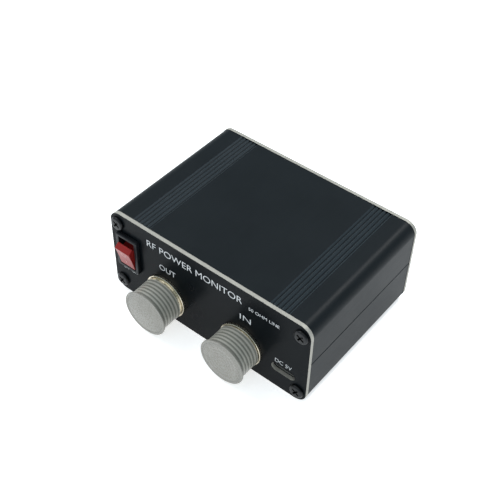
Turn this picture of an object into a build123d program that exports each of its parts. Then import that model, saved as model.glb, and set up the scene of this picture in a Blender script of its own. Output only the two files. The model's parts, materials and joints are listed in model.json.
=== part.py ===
"""Bench-top SWR and power meter in a split, extruded aluminium case.

Millimetres. +Z is up, -Y is the end with the two coaxial sockets, +Y is the end with the
display, and the origin is the centre of the case's underside. Each function makes one piece,
or one group of identical pieces, and the table at the end writes each to its own file.
"""
import math
import os

from build123d import *

# Case: two identical extruded halves between two flat end panels.
WIDTH = 88.0
HEIGHT = 38.0
DEPTH = 63.0
PANEL_T = 1.5
PANEL_CORNER = 4.7
PROUD = 0.1                 # the end panels stand this far outside the extrusion's sides
PROUD_TOP = 0.1             # and this far above its top; below they are level
WALL = 1.7
SHELL_W = WIDTH - 2 * PROUD
SHELL_H = HEIGHT - PROUD_TOP
SHELL_CORNER = PANEL_CORNER - PROUD
MID_Z = SHELL_H / 2
INNER_X = SHELL_W / 2 - WALL
FLOOR_Z = WALL
FRONT = -DEPTH / 2
REAR = DEPTH / 2
FRONT_IN = FRONT + PANEL_T
REAR_IN = REAR - PANEL_T

# Decorative grooves near each long edge of the top and the underside.
GROOVES = 5
GROOVE_FIRST_X = 27.0
GROOVE_PITCH = 1.6
GROOVE_W = 1.5
GROOVE_DEPTH = 0.6

# Lap joint and the fine V along the seam, which is above mid height on the tongue's side.
SEAM_RISE = 0.9
LAP_T = 0.8
LAP_H = 1.2
LAP_CLEAR = 0.1
SEAM_V = 0.4

# Corner screws and the open channels that they cut into.
SCREW_X = 40.4
SCREW_DZ = 14.3
CHANNEL_R = 3.0
CHANNEL_GAP = 1.6
PILOT_R = 1.35
SHANK_R = 1.3
SHANK_L = 8.0
SCREW_HOLE_R = 1.6
HEAD_R = 2.75
HEAD_H = 1.05
CROSS_L = 3.2
CROSS_W = 0.75
CROSS_DEPTH = 0.75

# Main board, held by its long edges in rails on the side walls.
BOARD_T = 1.6
BOARD_Z = 9.2
BOARD_TOP = BOARD_Z + BOARD_T
BOARD_HALF_W = INNER_X - 0.15
BOARD_END_GAP = 0.3
RAIL_REACH = 1.6
RAIL_T = 1.0
RAIL_CLEAR = 0.2

# Coaxial sockets: 5/8-24 coupling thread outside, 1/2-28 neck through the panel.
SOCKET_Z = 11.0
ANT_X = -18.4
TX_X = 16.2
THREAD_R = 15.875 / 2
RING_R = 8.9
RING_T = 1.2
SOCKET_REACH = 9.9
NECK_R = 6.35
NECK_L = 7.0
NECK_FLAT = 5.9
FIT = 0.1
MOUTH_R = 6.1
MOUTH_DEPTH = 5.2
SEAT_DEPTH = 8.9
THROAT_R = 4.6
RIM_SLOT_W = 1.5
RIM_SLOT_DEPTH = 1.2
CONTACT_R = 2.6
CONTACT_BORE_R = 2.0
CONTACT_PROUD = 0.5
CONTACT_DEPTH = 7.0
CONTACT_SLOT_W = 0.45
CONTACT_SLOT_L = 5.0
TAIL_R = 1.6
TAIL_END = FRONT + 11.0
CUP_R = 1.05
CUP_DEPTH = 3.0
TAG_T = 0.5
TAG_R = 8.4
WASHER_T = 0.8
WASHER_R = 8.2
NUT_T = 2.5
NUT_FLATS = 17.0

# Push-on dust caps. The aerial side's cap stands 0.8 further out than the other.
CAP_L = 9.4
CAP_R = 8.53
CAP_BORE_R = THREAD_R + 0.04
CAP_DISC_R = 9.29
CAP_DISC_T = 0.74
ANT_CAP_REACH = 11.8
TX_CAP_REACH = 11.0

# Rocker switch.
SWITCH_X = -35.6
SWITCH_Z = 22.0
BEZEL_W = 10.2
BEZEL_H = 15.6
BEZEL_T = 1.6
BODY_W = 8.8
BODY_H = 14.0
BODY_END = FRONT + 11.0
WELL_W = 7.4
WELL_H = 13.24
WELL_END = FRONT + 9.6
ROCKER_W = 6.8
ROCKER_PIVOT_Y = FRONT + 2.5
ROCKER_TILT = 15.0
FACE_HALF = 4.65
FACE_OUT = 5.6
FACE_SAG = 0.2
PIVOT_R = 0.9
PIVOT_CLEAR = 0.05
STEM_R = 1.5
STEM_END = 3.4
STEM_BORE_R = 0.9
STEM_BORE_TOP = 2.4
PLUNGER_R = 0.82
PLUNGER_TIP = 5.15
PLUNGER_TOP = 0.8
SPRING_WIRE_R = 0.13
LEVER_PIVOT_Y = FRONT + 8.2
LEVER_TILT = 7.5
LEVER_HALF = 4.6
LEVER_T = 0.5
KNUCKLE_R = 0.45
LEVER_W = 3.2
BLADE_T = 0.8
BLADE_W = 2.8
BLADE_END = FRONT + 16.0
LINE_BLADE_DZ = 4.2
SHOULDER = ((5.6, 3.4), (4.7, 2.8), (2.3, 2.4), (2.0, -0.6))     # rocker's outline below its face

# USB-C charging inlet, sunk into a notch in the board's front edge.
USB_X = 34.1
USB_Z = BOARD_Z + BOARD_T / 2
USB_SLOT_W = 9.8
USB_SLOT_H = 3.8
USB_W = 8.94
USB_H = 3.26
USB_WALL = 0.35
USB_FRONT = FRONT_IN + 0.1
USB_END = USB_FRONT + 7.3
TONGUE_W = 6.7
TONGUE_T = 0.7
USB_BACK = 1.6
USB_FEET_Y = (2.0, 5.0)

# Directional coupler: two toroids standing on the board.
CORE_R = 6.35
CORE_BORE_R = 3.575
CORE_W = 4.85
CORE_Z = BOARD_TOP + CORE_R + 0.75
TURNS = 12
TURN_W = 0.45
FORWARD_X = -8.0
FORWARD_Y = -12.5
REFLECTED_X = 5.0
REFLECTED_Y = -1.5
LINE_R = 0.6
LINE_SLEEVE_R = 1.2
SLEEVE_L = 7.2

# Board cut-outs for the sockets' nuts and tails, and the places of its small parts.
NUT_NOTCH_HALF = 10.6
NUT_NOTCH_END = FRONT + 7.9
TAIL_NOTCH_HALF = 2.4
TAIL_NOTCH_END = FRONT + 14.5
CHIP_LIFT = 0.15
LEG_T = 0.3
MICRO = (-24.0, 8.0)
CHARGER = (USB_X, -16.5)
INDUCTOR = (24.0, -15.0)
DIODES_X = (-17.0, -12.0)
# Rows of chip parts: first x and y, step in x and y, count.
CAPACITOR_H = 0.9
CAPACITOR_ROWS = ((-33, 0, 0, 3, 4), (-14, 6, 0, 3, 4), (28, -21, 0, 2.6, 3), (15, 12, 4, 0, 3))
RESISTOR_H = 0.5
RESISTOR_ROWS = ((-30, 15, 4, 0, 4), (-2, 9, 4, 0, 4), (39.0, -16, 0, 3, 4), (15, 3, 0, 3, 3))

# Display, glued behind a window in the far panel.
DISPLAY_Z = 24.2
OPENING_W = 34.0
OPENING_H = 15.6
WINDOW_CLEAR = 0.1
WINDOW_FLANGE = 2.0
WINDOW_RECESS = 0.3
GLASS_W = 34.5
GLASS_H = 19.3
GLASS_T = 1.5
GASKET_T = 2.0
GASKET_RIM = 1.9
WINDOW_BACK = REAR_IN - 1.4
DISPLAY_BOARD_W = 62.0
DISPLAY_BOARD_TOP = 35.0
DISPLAY_BOARD_BOTTOM = BOARD_TOP + 0.2
PINS = 7
PIN_PITCH = 2.54
PIN_HALF = 0.3
PIN_Z = 12.05
PIN_Y = 20.9
PIN_END = 25.8
PIN_HOLE_R = 0.5
STRIP_Y = 20.4
STRIP_D = 2.5

# Battery, stuck to the floor under the board.
CELL_W = 48.0
CELL_L = 30.0
CELL_T = 5.0
CELL_Y = 1.0
PAD_T = 0.6
LEAD_R = 0.6
LEAD_TOP = 13.2
PLUG_Y = 10.0
LEAD_HOLE = (31.0, 37.0, 1.4, 8.8)
JACK_X = 33.6
JACK_Y = 10.4
JACK_W = 6.0
JACK_L = 6.0
JACK_H = 5.0
JACK_WALL = 0.8
PLUG_GAP = 0.1


def block(x0, x1, y0, y1, z0, z1):
    """A box from its two opposite corners."""
    size = Box(x1 - x0, y1 - y0, z1 - z0)
    return Pos((x0 + x1) / 2, (y0 + y1) / 2, (z0 + z1) / 2) * size


def rod_y(x, z, radius, y0, y1):
    """A cylinder along Y."""
    return Pos(x, (y0 + y1) / 2, z) * Rot(90, 0, 0) * Cylinder(radius, y1 - y0)


def ring_y(x, z, outer_r, inner_r, y0, y1):
    return rod_y(x, z, outer_r, y0, y1) - rod_y(x, z, inner_r, y0, y1)


def along_y(profile, y0, y1):
    """Extrude a profile drawn in (x, z) from y0 to y1."""
    return Pos(0, y1, 0) * Rot(90, 0, 0) * extrude(profile, y1 - y0)


def group(shapes):
    """Separate solids that share one file."""
    return Compound([solid for shape in shapes for solid in shape.solids()])


def lead(points, radius):
    """A wire along straight runs, joined by the largest arcs that the runs allow."""
    corners = [Vector(*point) for point in points]
    runs = [b - a for a, b in zip(corners, corners[1:])]
    bends = []
    for a, b in zip(runs, runs[1:]):
        half_turn = math.radians(a.get_angle(b)) / 2
        bends.append(0.45 * min(a.length, b.length) / math.tan(half_turn))
    path = FilletPolyline(*corners, radius=bends)
    section = Plane(origin=corners[0], z_dir=runs[0]) * Circle(radius)
    return sweep(section, path=path)


# Case ---------------------------------------------------------------------------------------
def screw_places():
    return [(x, MID_Z + dz) for x in (-SCREW_X, SCREW_X) for dz in (-SCREW_DZ, SCREW_DZ)]


def diamond(width, height):
    """A rhombus on its point; half of it sunk in a face leaves a V groove."""
    tips = [(-width / 2, 0), (0, -height / 2), (width / 2, 0), (0, height / 2)]
    return make_face(Polyline(*tips, close=True))


def shell_profile():
    """The whole case's section, before it is split at mid height."""
    outline = Pos(0, MID_Z) * RectangleRounded(SHELL_W, SHELL_H, SHELL_CORNER)
    cavity_h = SHELL_H - 2 * WALL
    cavity = Pos(0, MID_Z) * RectangleRounded(2 * INNER_X, cavity_h, SHELL_CORNER - WALL)
    profile = outline - cavity
    for x, z in screw_places():
        profile += (Pos(x, z) * Circle(CHANNEL_R)) & outline
    for x, z in screw_places():
        profile -= Pos(x, z) * Circle(PILOT_R)
        inward = -math.copysign(CHANNEL_R / 2 + 0.3, x)
        profile -= Pos(x + inward, z) * Rectangle(CHANNEL_R + 0.6, CHANNEL_GAP)
    for side in (-1, 1):
        rail_x = side * (INNER_X - RAIL_REACH / 2 + 0.1)
        for z in (BOARD_Z - RAIL_T / 2, BOARD_TOP + RAIL_CLEAR + RAIL_T / 2):
            for rail_z in (z, SHELL_H - z):
                profile += Pos(rail_x, rail_z) * Rectangle(RAIL_REACH + 0.2, RAIL_T)
        for i in range(GROOVES):
            groove_x = side * (GROOVE_FIRST_X + i * GROOVE_PITCH)
            for z in (0, SHELL_H):
                profile -= Pos(groove_x, z) * diamond(GROOVE_W, 2 * GROOVE_DEPTH)
        seam_z = MID_Z + side * SEAM_RISE
        profile -= Pos(side * SHELL_W / 2, seam_z) * Rot(0, 0, 45) * Rectangle(SEAM_V, SEAM_V)
    return profile


def lower_shell():
    """One half: its +X wall is taller and carries a tongue, and its -X wall has a rebate."""
    kept = Pos(WIDTH / 4, (MID_Z + SEAM_RISE) / 2) * Rectangle(WIDTH / 2, MID_Z + SEAM_RISE)
    kept += Pos(-WIDTH / 4, (MID_Z - SEAM_RISE) / 2) * Rectangle(WIDTH / 2, MID_Z - SEAM_RISE)
    half = shell_profile() & kept
    tongue_x = INNER_X + LAP_T / 2
    tongue_z = MID_Z + SEAM_RISE + LAP_H / 2
    half += Pos(tongue_x, tongue_z - 0.1) * Rectangle(LAP_T, LAP_H + 0.2)
    rebate_w = LAP_T + LAP_CLEAR
    rebate_x = -(INNER_X + rebate_w / 2) + 0.05
    rebate_z = MID_Z - SEAM_RISE - LAP_H / 2
    half -= Pos(rebate_x, rebate_z) * Rectangle(rebate_w + 0.1, LAP_H + 2 * LAP_CLEAR)
    return along_y(half, FRONT_IN, REAR_IN)


def upper_shell():
    """The same extrusion turned over."""
    return Pos(0, 0, SHELL_H) * Rot(0, 180, 0) * lower_shell()


def blank_panel():
    plate = Pos(0, HEIGHT / 2) * RectangleRounded(WIDTH, HEIGHT, PANEL_CORNER)
    for x, z in screw_places():
        plate -= Pos(x, z) * Circle(SCREW_HOLE_R)
    return plate


def connector_panel():
    plate = blank_panel()
    for x in (ANT_X, TX_X):
        hole_r = NECK_R + FIT
        flat_z = NECK_FLAT + FIT
        hole = Circle(hole_r) - Pos(0, flat_z + hole_r) * Rectangle(2 * hole_r, 2 * hole_r)
        plate -= Pos(x, SOCKET_Z) * hole
    plate -= Pos(SWITCH_X, SWITCH_Z) * Rectangle(BODY_W + 2 * FIT, BODY_H + 2 * FIT)
    plate -= Pos(USB_X, USB_Z) * SlotOverall(USB_SLOT_W, USB_SLOT_H)
    return along_y(plate, FRONT, FRONT_IN)


def display_panel():
    plate = blank_panel()
    plate -= Pos(0, DISPLAY_Z) * RectangleRounded(OPENING_W, OPENING_H, 1.0)
    return along_y(plate, REAR_IN, REAR)


def panel_screw(x, z, outward):
    """A cross-recessed pan head on a thread-forming shank, drawn pointing up, then laid over."""
    head = Pos(0, 0, HEAD_H / 2) * Cylinder(HEAD_R, HEAD_H)
    head = fillet(head.edges().sort_by(Axis.Z)[-1], 0.65)
    shank = Pos(0, 0, -SHANK_L / 2) * Cylinder(SHANK_R, SHANK_L)
    shank = chamfer(shank.edges().sort_by(Axis.Z)[0], 0.4)
    recess_z = HEAD_H - CROSS_DEPTH / 2
    screw = head + shank
    for turn in (45, 135):
        screw -= Pos(0, 0, recess_z) * Rot(0, 0, turn) * Box(CROSS_L, CROSS_W, CROSS_DEPTH)
    face = FRONT if outward < 0 else REAR
    return Pos(x, face, z) * Rot(-90 * outward, 0, 0) * screw


def panel_screws(outward):
    return group([panel_screw(x, z, outward) for x, z in screw_places()])


# Coaxial sockets ----------------------------------------------------------------------------
def socket_body(x):
    """Plated shell: the coupling thread is its outer wall, drawn at its major diameter."""
    mouth = FRONT - SOCKET_REACH
    barrel = rod_y(x, SOCKET_Z, THREAD_R, mouth, FRONT - RING_T)
    ring = rod_y(x, SOCKET_Z, RING_R, FRONT - RING_T, FRONT)
    neck = rod_y(x, SOCKET_Z, NECK_R, FRONT, FRONT + NECK_L)
    above = SOCKET_Z + NECK_FLAT
    neck -= block(x - NECK_R, x + NECK_R, FRONT, FRONT + NECK_L, above, above + NECK_R)
    body = barrel + ring + neck
    body -= rod_y(x, SOCKET_Z, MOUTH_R, mouth, mouth + SEAT_DEPTH)
    body -= rod_y(x, SOCKET_Z, THROAT_R, mouth, FRONT + NECK_L)
    for turn in (0, 90):
        slot = Box(2 * THREAD_R + 1, RIM_SLOT_DEPTH, RIM_SLOT_W)
        body -= Pos(x, mouth + RIM_SLOT_DEPTH / 2, SOCKET_Z) * Rot(0, turn, 0) * slot
    return body


def socket_insulator(x):
    mouth = FRONT - SOCKET_REACH
    face = mouth + MOUTH_DEPTH
    seat = mouth + SEAT_DEPTH
    end = FRONT + NECK_L - 0.5
    step = FRONT + 2.0
    body = rod_y(x, SOCKET_Z, MOUTH_R, face, seat) + rod_y(x, SOCKET_Z, THROAT_R, seat, end)
    body -= rod_y(x, SOCKET_Z, CONTACT_R, face, step)
    return body - rod_y(x, SOCKET_Z, TAIL_R, step, end)


def socket_contact(x):
    """Sprung centre contact, split in four at the front, with a solder cup at the back."""
    tip = FRONT - SOCKET_REACH + MOUTH_DEPTH - CONTACT_PROUD
    step = FRONT + 2.0
    body = rod_y(x, SOCKET_Z, CONTACT_R, tip, step)
    body += rod_y(x, SOCKET_Z, TAIL_R, step, TAIL_END)
    body -= rod_y(x, SOCKET_Z, CONTACT_BORE_R, tip, tip + CONTACT_DEPTH)
    body -= rod_y(x, SOCKET_Z, CUP_R, TAIL_END - CUP_DEPTH, TAIL_END)
    for turn in (45, 135):
        slot = Box(2 * CONTACT_R + 1, CONTACT_SLOT_L, CONTACT_SLOT_W)
        body -= Pos(x, tip + CONTACT_SLOT_L / 2, SOCKET_Z) * Rot(0, turn, 0) * slot
    return body


def ground_tag(x, side):
    """Solder tag under the washer; its tail stands on the board's middle tongue."""
    y1 = FRONT_IN + TAG_T
    tag = rod_y(x, SOCKET_Z, TAG_R, FRONT_IN, y1)
    tail = sorted((x + side * 7.5, x + side * 12.8))
    tag += block(tail[0], tail[1], FRONT_IN, y1, BOARD_TOP, BOARD_TOP + 2.0)
    return tag - rod_y(x, SOCKET_Z, NECK_R + FIT, FRONT_IN, y1)


def lock_washer(x):
    y0 = FRONT_IN + TAG_T
    washer = ring_y(x, SOCKET_Z, WASHER_R, NECK_R + FIT, y0, y0 + WASHER_T)
    teeth = 12
    for i in range(teeth):
        notch = Pos(WASHER_R, 0, 0) * Box(1.4, 2 * WASHER_T, 0.8)
        washer -= Pos(x, y0 + WASHER_T / 2, SOCKET_Z) * Rot(0, i * 360 / teeth, 0) * notch
    return washer


def socket_nut(x):
    y0 = FRONT_IN + TAG_T + WASHER_T
    corner_r = NUT_FLATS / 2 / math.cos(math.radians(30))
    hexagon = Pos(x, SOCKET_Z) * RegularPolygon(corner_r, 6)
    nut = along_y(hexagon, y0, y0 + NUT_T)
    return nut - rod_y(x, SOCKET_Z, NECK_R + FIT / 2, y0, y0 + NUT_T)


def dust_cap(x, reach):
    """A sleeve over the thread, closed by a disc that overhangs it as a grip."""
    face = FRONT - reach
    disc = rod_y(x, SOCKET_Z, CAP_DISC_R, face, face + CAP_DISC_T)
    disc = fillet(disc.edges().filter_by(GeomType.CIRCLE), 0.25)
    inside = face + CAP_DISC_T
    return disc + ring_y(x, SOCKET_Z, CAP_R, CAP_BORE_R, inside - 0.1, face + CAP_L)


# Rocker switch ------------------------------------------------------------------------------
def switch_housing():
    bezel = Pos(SWITCH_X, SWITCH_Z) * RectangleRounded(BEZEL_W, BEZEL_H, 0.6)
    bezel = along_y(bezel, FRONT - BEZEL_T, FRONT)
    bezel = fillet(bezel.faces().sort_by(Axis.Y)[0].edges(), 0.4)
    body = along_y(Pos(SWITCH_X, SWITCH_Z) * Rectangle(BODY_W, BODY_H), FRONT, BODY_END)
    well = Pos(SWITCH_X, SWITCH_Z) * Rectangle(WELL_W, WELL_H)
    housing = bezel + body - along_y(well, FRONT - BEZEL_T, WELL_END)
    axle = Pos(SWITCH_X, ROCKER_PIVOT_Y, SWITCH_Z) * Rot(0, 90, 0)
    housing -= axle * Cylinder(PIVOT_R + PIVOT_CLEAR, BEZEL_W)
    for blade in (common_blade(), line_blade()):
        housing -= blade
    return housing


def rocker_place(tilt):
    """Rocker's own frame: x across, y towards the user from the pivot, z up its face."""
    return Pos(SWITCH_X, ROCKER_PIVOT_Y, SWITCH_Z) * Rot(tilt, 0, 0)


def power_rocker():
    outline = [(FACE_HALF, FACE_OUT), *SHOULDER]
    outline += [(-t, n) for t, n in reversed(outline)]
    sides = [Line(a, b) for a, b in zip(outline, outline[1:])]
    middle = (0, FACE_OUT - FACE_SAG)
    face = ThreePointArc(outline[-1], middle, outline[0])
    upright = Plane(origin=(0, 0, 0), x_dir=(0, 0, 1), z_dir=(1, 0, 0))
    paddle = extrude(upright * make_face(sides + [face]), ROCKER_W / 2, both=True)
    pins = Rot(0, 90, 0) * Cylinder(PIVOT_R, BODY_W - 0.2)
    stem = rod_y(0, 0, STEM_R, 0, STEM_END)
    bore = rod_y(0, 0, STEM_BORE_R, -STEM_BORE_TOP, STEM_END)
    return rocker_place(ROCKER_TILT) * (paddle + pins + stem - bore)


def rocker_plunger():
    rod = rod_y(0, 0, PLUNGER_R, PLUNGER_TOP, PLUNGER_TIP - PLUNGER_R)
    tip = Pos(0, PLUNGER_TIP - PLUNGER_R, 0) * Sphere(PLUNGER_R)
    return rocker_place(ROCKER_TILT) * (rod + tip)


def rocker_spring():
    """Coil between the bore's end and the plunger."""
    low = -STEM_BORE_TOP + SPRING_WIRE_R
    length = PLUNGER_TOP - SPRING_WIRE_R - low
    coil_r = STEM_BORE_R - SPRING_WIRE_R - 0.1
    path = Helix(pitch=0.75, height=length, radius=coil_r)
    start = Plane(origin=path @ 0, z_dir=path % 0)
    coil = sweep(start * Circle(SPRING_WIRE_R), path=path)
    return rocker_place(ROCKER_TILT) * Pos(0, low, 0) * Rot(-90, 0, 0) * coil


def contact_lever():
    """Seesaw strip on a round knuckle; its two ends carry contact buttons."""
    lever = Box(LEVER_W, LEVER_T, 2 * LEVER_HALF)
    knuckle = Rot(0, 90, 0) * Cylinder(KNUCKLE_R, LEVER_W)
    lever += knuckle - Pos(0, -KNUCKLE_R, 0) * Box(2 * LEVER_W, 2 * KNUCKLE_R, 2 * KNUCKLE_R)
    for z in (-LINE_BLADE_DZ, LINE_BLADE_DZ):
        lever += rod_y(0, z, 0.9, LEVER_T / 2, LEVER_T / 2 + 0.15)
    return Pos(SWITCH_X, LEVER_PIVOT_Y, SWITCH_Z) * Rot(-LEVER_TILT, 0, 0) * lever


def blade(z, start):
    return block(SWITCH_X - BLADE_W / 2, SWITCH_X + BLADE_W / 2, start, BLADE_END,
                 z - BLADE_T / 2, z + BLADE_T / 2)


def common_blade():
    """Its end is hollowed to cradle the lever's knuckle."""
    cradle = Pos(SWITCH_X, LEVER_PIVOT_Y, SWITCH_Z) * Rot(0, 90, 0)
    strip = blade(SWITCH_Z, LEVER_PIVOT_Y + KNUCKLE_R - PIVOT_CLEAR)
    return strip - cradle * Cylinder(KNUCKLE_R + PIVOT_CLEAR, 2 * BLADE_W)


def line_blade():
    return blade(SWITCH_Z + LINE_BLADE_DZ, WELL_END - 0.2)


def switch_leads():
    """Two wires from the blades down to the board."""
    wires = []
    for x, z, y in ((-0.4, 0, -7.0), (0.4, LINE_BLADE_DZ, -4.0)):
        top = SWITCH_Z + z
        wires.append(lead([(SWITCH_X + x, BLADE_END, top), (SWITCH_X + x, y - 3.0, top),
                           (SWITCH_X + x, y, top - 5.0), (SWITCH_X + x, y, BOARD_TOP)], LEAD_R))
    return group(wires)


# Charging inlet -----------------------------------------------------------------------------
def usb_shell():
    outer = SlotOverall(USB_W, USB_H)
    inner = SlotOverall(USB_W - 2 * USB_WALL, USB_H - 2 * USB_WALL)
    shell = along_y(Pos(USB_X, USB_Z) * outer, USB_FRONT, USB_END)
    for side in (-1, 1):
        for foot_y in USB_FEET_Y:
            x = sorted((USB_X + side * 3.0, USB_X + side * 5.9))
            y = USB_FRONT + foot_y
            shell += block(x[0], x[1], y, y + 1.2, BOARD_TOP, BOARD_TOP + USB_WALL)
    return shell - along_y(Pos(USB_X, USB_Z) * inner, USB_FRONT, USB_END)


def usb_tongue():
    """Moulded back block with the contact tongue standing on it."""
    inner = SlotOverall(USB_W - 2 * USB_WALL, USB_H - 2 * USB_WALL)
    back_y = USB_END - USB_BACK
    back = along_y(Pos(USB_X, USB_Z) * inner, back_y, USB_END)
    half = TONGUE_W / 2
    return back + block(USB_X - half, USB_X + half, USB_FRONT + 0.8, back_y,
                        USB_Z - TONGUE_T / 2, USB_Z + TONGUE_T / 2)


# Main board and its parts -------------------------------------------------------------------
def pin_places():
    first = -(PINS - 1) / 2 * PIN_PITCH
    return [first + i * PIN_PITCH for i in range(PINS)]


def main_board():
    y0 = FRONT_IN + BOARD_END_GAP
    board = block(-BOARD_HALF_W, BOARD_HALF_W, y0, -y0, BOARD_Z, BOARD_TOP)
    for x in (ANT_X, TX_X):
        for half, end in ((NUT_NOTCH_HALF, NUT_NOTCH_END), (TAIL_NOTCH_HALF, TAIL_NOTCH_END)):
            board -= block(x - half, x + half, y0, end, BOARD_Z, BOARD_TOP)
    usb_half = USB_W / 2 + 0.2
    board -= block(USB_X - usb_half, USB_X + usb_half, y0, USB_END + 0.2, BOARD_Z, BOARD_TOP)
    board -= block(*LEAD_HOLE, BOARD_Z, BOARD_TOP)
    for x in pin_places():
        board -= Pos(x, PIN_Y, BOARD_Z) * Cylinder(PIN_HOLE_R, 4 * BOARD_T)
    return board


def core(x, y):
    blank = Cylinder(CORE_R, CORE_W) - Cylinder(CORE_BORE_R, CORE_W)
    blank = fillet(blank.edges().filter_by(GeomType.CIRCLE), 0.4)
    return Pos(x, y, CORE_Z) * Rot(0, 90, 0) * blank


def winding(x, y):
    """Square-section turns that hug the core's section, and two tails to the board."""
    depth = CORE_R - CORE_BORE_R + 0.04
    frame = Box(depth + 2 * TURN_W, TURN_W, CORE_W + 2 * TURN_W) - Box(depth, TURN_W, CORE_W)
    middle = (CORE_R + CORE_BORE_R) / 2
    turns = []
    for i in range(TURNS):
        angle = 28 + i * (360 - 56) / (TURNS - 1)
        turns.append(Rot(0, 0, angle) * Pos(middle, 0, 0) * frame)
    placed = [Pos(x, y, CORE_Z) * Rot(0, 90, 0) * turn for turn in turns]
    foot = CORE_Z - (CORE_R + TURN_W) * math.cos(math.radians(28))
    for side in (-1, 1):
        tail_y = y + side * (CORE_R + TURN_W) * math.sin(math.radians(28))
        placed.append(block(x - 0.2, x + 0.2, tail_y - 0.2, tail_y + 0.2, BOARD_TOP, foot - 0.2))
    return group(placed)


def line_conductor():
    """The main line: one wire from one socket's cup, through the forward core, to the other."""
    start = TAIL_END - CUP_DEPTH + 0.6
    turn = TAIL_END + 1.6
    return lead([(ANT_X, start, SOCKET_Z), (ANT_X, turn, SOCKET_Z), (ANT_X + 2, FORWARD_Y, CORE_Z),
                 (TX_X - 2, FORWARD_Y, CORE_Z), (TX_X, turn, SOCKET_Z), (TX_X, start, SOCKET_Z)],
                LINE_R)


def line_sleeve():
    place = Pos(FORWARD_X, FORWARD_Y, CORE_Z) * Rot(0, 90, 0)
    return place * (Cylinder(LINE_SLEEVE_R, SLEEVE_L) - Cylinder(LINE_R + 0.02, SLEEVE_L))


def sense_conductor():
    """A bridge of wire that threads the reflected core and lands on the board each side."""
    left = REFLECTED_X - 6.0
    right = REFLECTED_X + 6.0
    return lead([(left, REFLECTED_Y, BOARD_TOP), (left, REFLECTED_Y, CORE_Z),
                 (right, REFLECTED_Y, CORE_Z), (right, REFLECTED_Y, BOARD_TOP)], LINE_R)


def on_board(x, y, length, width, height):
    return block(x - length / 2, x + length / 2, y - width / 2, y + width / 2,
                 BOARD_TOP, BOARD_TOP + height)


def microcontroller():
    """Square flat pack with a row of legs on each side."""
    x, y = MICRO
    side = 7.0
    pitch = 0.8
    legs = 8
    pieces = [Pos(0, 0, CHIP_LIFT) * on_board(x, y, side, side, 1.3)]
    for i in range(legs):
        along = (i - (legs - 1) / 2) * pitch
        for out in (-1, 1):
            reach = out * (side / 2 + 0.5)
            pieces.append(on_board(x + reach, y + along, 1.0, 0.35, LEG_T))
            pieces.append(on_board(x + along, y + reach, 0.35, 1.0, LEG_T))
    return group(pieces)


def charger_chip():
    x, y = CHARGER
    pitch = 1.27
    pieces = [Pos(0, 0, CHIP_LIFT) * on_board(x, y, 5.0, 4.0, 1.4)]
    for i in range(4):
        along = (i - 1.5) * pitch
        for out in (-1, 1):
            pieces.append(on_board(x + along, y + out * 2.5, 0.45, 1.0, LEG_T))
    return group(pieces)


def power_inductor():
    body = on_board(*INDUCTOR, 5.0, 5.0, 2.4)
    return fillet(body.edges().filter_by(Axis.Z), 0.8)


def detector_diodes():
    """Two small glass diodes with capped ends, lying on the board."""
    pieces = []
    end_r = 0.75
    half = 1.6
    z = BOARD_TOP + end_r
    for x in DIODES_X:
        pieces.append(rod_y(x, z, end_r - 0.05, -half, half))
        pieces.append(rod_y(x, z, end_r, -half - 0.5, -half))
        pieces.append(rod_y(x, z, end_r, half, half + 0.5))
    return group(pieces)


def chip_rows(rows, height):
    """Small blocks in rows, each row given by its first place, its steps and its count."""
    chips = []
    for x0, y0, step_x, step_y, count in rows:
        for i in range(count):
            chips.append(on_board(x0 + i * step_x, y0 + i * step_y, 2.0, 1.25, height))
    return group(chips)


# Display end --------------------------------------------------------------------------------
def display_window():
    nose_w = OPENING_W - 2 * WINDOW_CLEAR
    nose_h = OPENING_H - 2 * WINDOW_CLEAR
    nose = Pos(0, DISPLAY_Z) * RectangleRounded(nose_w, nose_h, 0.9)
    flange_w = OPENING_W + 2 * WINDOW_FLANGE
    flange = Pos(0, DISPLAY_Z) * Rectangle(flange_w, OPENING_H + 2 * WINDOW_FLANGE)
    return along_y(flange, WINDOW_BACK, REAR_IN) + along_y(nose, REAR_IN, REAR - WINDOW_RECESS)


def display_gasket():
    y0 = WINDOW_BACK - GASKET_T
    rim = Rectangle(GLASS_W, GLASS_H) - Rectangle(GLASS_W - 2 * GASKET_RIM, GLASS_H - 2 * GASKET_RIM)
    return along_y(Pos(0, DISPLAY_Z) * rim, y0, WINDOW_BACK)


def display_glass():
    y1 = WINDOW_BACK - GASKET_T
    half_w, half_h = GLASS_W / 2, GLASS_H / 2
    return block(-half_w, half_w, y1 - GLASS_T, y1, DISPLAY_Z - half_h, DISPLAY_Z + half_h)


def display_board():
    y1 = WINDOW_BACK - GASKET_T - GLASS_T
    half = DISPLAY_BOARD_W / 2
    board = block(-half, half, y1 - BOARD_T, y1, DISPLAY_BOARD_BOTTOM, DISPLAY_BOARD_TOP)
    for x in pin_places():
        board -= rod_y(x, PIN_Z, PIN_HOLE_R, y1 - 2 * BOARD_T, y1 + BOARD_T)
    return board


def pin(x):
    """A right-angled pin: down through the main board, forward through the display board."""
    x0, x1 = x - PIN_HALF, x + PIN_HALF
    y0, y1 = PIN_Y - PIN_HALF, PIN_Y + PIN_HALF
    upright = block(x0, x1, y0, y1, BOARD_Z - 1.0, PIN_Z + PIN_HALF)
    return upright + block(x0, x1, y0, PIN_END, PIN_Z - PIN_HALF, PIN_Z + PIN_HALF)


def header_pins():
    return group([pin(x) for x in pin_places()])


def display_header():
    half = PINS * PIN_PITCH / 2
    strip = block(-half, half, STRIP_Y, STRIP_Y + STRIP_D, BOARD_TOP, BOARD_TOP + STRIP_D)
    for x in pin_places():
        strip -= pin(x)
    return strip


# Battery ------------------------------------------------------------------------------------
def battery_pad():
    return block(-CELL_W / 2 + 3, CELL_W / 2 - 3, CELL_Y - CELL_L / 2 + 3, CELL_Y + CELL_L / 2 - 3,
                 FLOOR_Z, FLOOR_Z + PAD_T)


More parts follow.
